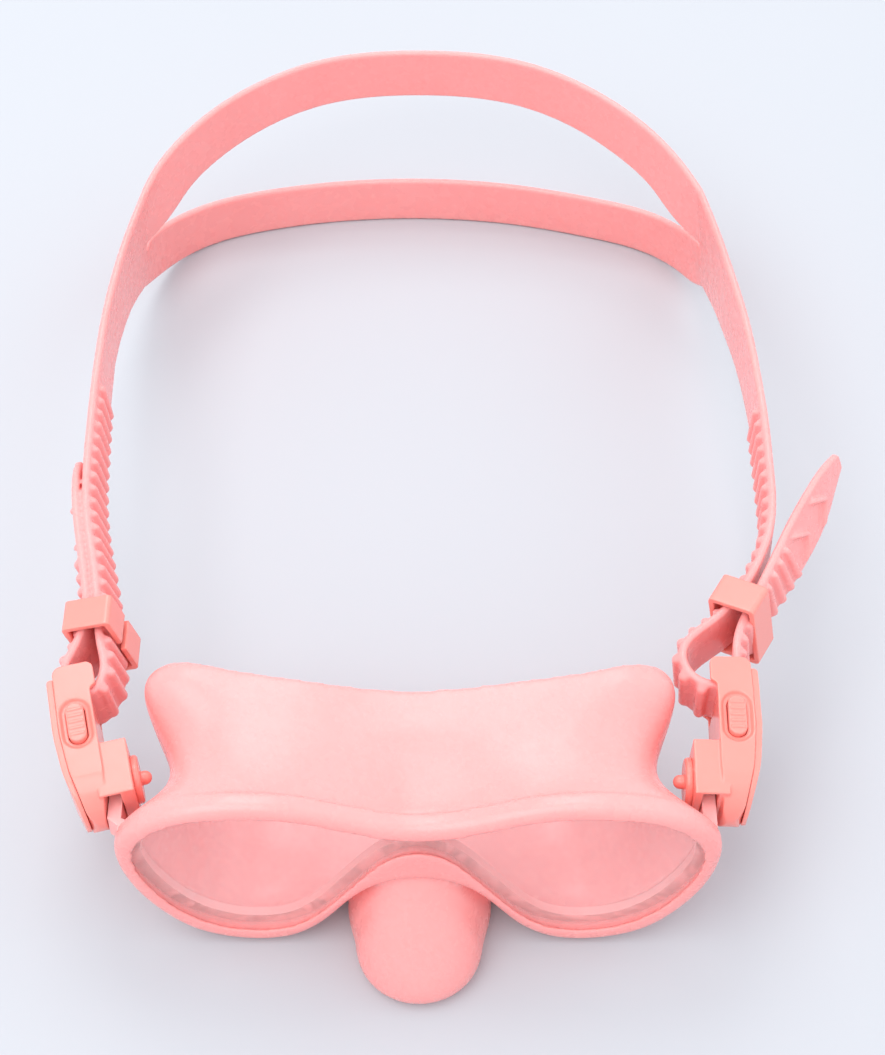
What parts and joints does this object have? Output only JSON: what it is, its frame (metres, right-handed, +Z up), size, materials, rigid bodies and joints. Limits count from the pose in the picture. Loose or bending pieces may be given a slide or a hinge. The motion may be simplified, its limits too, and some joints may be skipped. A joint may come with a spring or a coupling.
{
  "type": "swim mask",
  "caption": "Child's swim mask with a nose pocket: flat lens in a silicone skirt, split silicone strap, and swivel buckles at the sides with squeeze buttons.",
  "frame": {"origin": "on the surface the mask lies on, in the middle plane, under the flat of the nose pocket", "axes": "+X to the wearer's left as seen from behind the strap, +Y from the lens to the back of the strap, +Z up; the lens leans back"},
  "size_m": [0.216, 0.2934, 0.0618],
  "materials": {
    "silicone": "satin",
    "buckle_plastic": "satin",
    "frame_plastic": "satin",
    "glass": "polished",
    "steel": "brushed"
  },
  "bodies": {
    "mask": {"skirt": "silicone", "lens": "glass", "lens_frame": "frame_plastic"},
    "strap_and_buckles": {"strap": "silicone", "keeper_left": "buckle_plastic", "keeper_right": "buckle_plastic", "buckle_base_left": "buckle_plastic", "buckle_cover_left": "buckle_plastic", "roller_pin_left": "steel", "swivel_pin_left": "buckle_plastic", "swivel_cap_left": "buckle_plastic", "button_spring_upper_left": "steel", "button_spring_lower_left": "steel", "buckle_base_right": "buckle_plastic", "buckle_cover_right": "buckle_plastic", "roller_pin_right": "steel", "swivel_pin_right": "buckle_plastic", "swivel_cap_right": "buckle_plastic", "button_spring_upper_right": "steel", "button_spring_lower_right": "steel"},
    "roller_left": {"strap_roller_left": "buckle_plastic"},
    "button_upper_left_key": {"button_upper_left": "buckle_plastic"},
    "button_lower_left_key": {"button_lower_left": "buckle_plastic"},
    "roller_right": {"strap_roller_right": "buckle_plastic"},
    "button_upper_right_key": {"button_upper_right": "buckle_plastic"},
    "button_lower_right_key": {"button_lower_right": "buckle_plastic"}
  },
  "joints": [
    {"name": "strap_swivel", "type": "hinge", "parent": "mask", "child": "strap_and_buckles", "pos_m": [0, 0.0308, 0.043], "axis": [1, 0, 0], "range_deg": [-25, 30]},
    {"name": "roller_spin_left", "type": "hinge", "parent": "strap_and_buckles", "child": "roller_left", "pos_m": [-0.08676, 0.05559, 0.043], "axis": [0, 0, 1], "continuous": true},
    {"name": "press_upper_left", "type": "slide", "parent": "strap_and_buckles", "child": "button_upper_left_key", "axis": [0, 0, -1], "range_m": [0, 0.0018], "stiffness_N_per_m": 300, "springref_m": -0.001, "deforming": ["button_spring_upper_left"]},
    {"name": "press_lower_left", "type": "slide", "parent": "strap_and_buckles", "child": "button_lower_left_key", "axis": [0, 0, 1], "range_m": [0, 0.0018], "stiffness_N_per_m": 300, "springref_m": -0.001, "deforming": ["button_spring_lower_left"]},
    {"name": "roller_spin_right", "type": "hinge", "parent": "strap_and_buckles", "child": "roller_right", "pos_m": [0.07834, 0.05758, 0.043], "axis": [0, 0, 1], "continuous": true},
    {"name": "press_upper_right", "type": "slide", "parent": "strap_and_buckles", "child": "button_upper_right_key", "axis": [0, 0, -1], "range_m": [0, 0.0018], "stiffness_N_per_m": 300, "springref_m": -0.001, "deforming": ["button_spring_upper_right"]},
    {"name": "press_lower_right", "type": "slide", "parent": "strap_and_buckles", "child": "button_lower_right_key", "axis": [0, 0, 1], "range_m": [0, 0.0018], "stiffness_N_per_m": 300, "springref_m": -0.001, "deforming": ["button_spring_lower_right"]}
  ]
}
